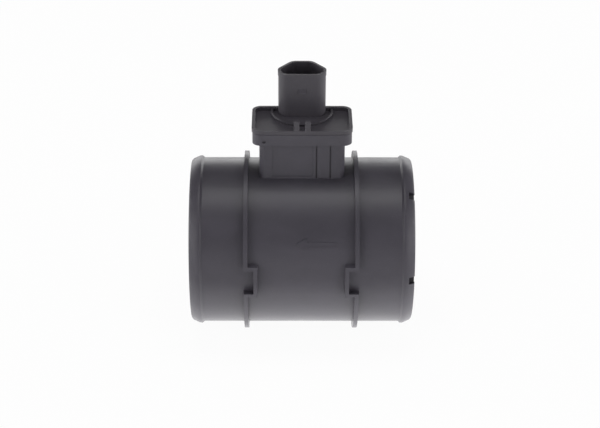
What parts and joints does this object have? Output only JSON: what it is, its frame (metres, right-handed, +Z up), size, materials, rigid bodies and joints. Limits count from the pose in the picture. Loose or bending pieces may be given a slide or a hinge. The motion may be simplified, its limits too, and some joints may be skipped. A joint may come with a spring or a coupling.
{
  "type": "mass airflow sensor",
  "caption": "Air mass meter for an engine's intake: a round duct with hose beads and stops, a flow grid, and a plug-in sensor with an upright connector.",
  "frame": {"origin": "centre of the duct's outlet mouth", "axes": "+X along the duct from the outlet to the inlet, against the air's flow; +Z up, where the connector points; -Y is the side that the picture shows"},
  "size_m": [0.106, 0.0864, 0.1284],
  "materials": {
    "housing_plastic": "satin moulded",
    "grid_plastic": "satin moulded",
    "screen_wire": "drawn wire",
    "sensor_plastic": "satin moulded",
    "seal_rubber": "matt",
    "cover_plastic": "satin moulded",
    "plate_metal": "rolled",
    "board": "ceramic",
    "chip_package": "moulded",
    "capacitor": "ceramic",
    "carrier": "satin",
    "silicon": "polished",
    "bond_wire": "drawn wire",
    "thermistor_glass": "glass bead",
    "terminal_metal": "tinned"
  },
  "bodies": {
    "root": {"tube_housing": "housing_plastic", "inlet_grid": "grid_plastic", "wire_screen": "screen_wire", "sensor_body": "sensor_plastic", "stem_seal": "seal_rubber", "electronics_cover": "cover_plastic", "channel_cover": "cover_plastic", "mounting_plate": "plate_metal", "circuit_board": "board", "signal_processor": "chip_package", "board_capacitors": "capacitor", "chip_carrier": "carrier", "sensor_chip": "silicon", "terminal_wires": "bond_wire", "carrier_wires": "bond_wire", "thermistor": "thermistor_glass", "thermistor_leads": "bond_wire", "terminal_1": "terminal_metal", "terminal_2": "terminal_metal", "terminal_3": "terminal_metal", "terminal_4": "terminal_metal", "terminal_5": "terminal_metal"}
  },
  "joints": []
}
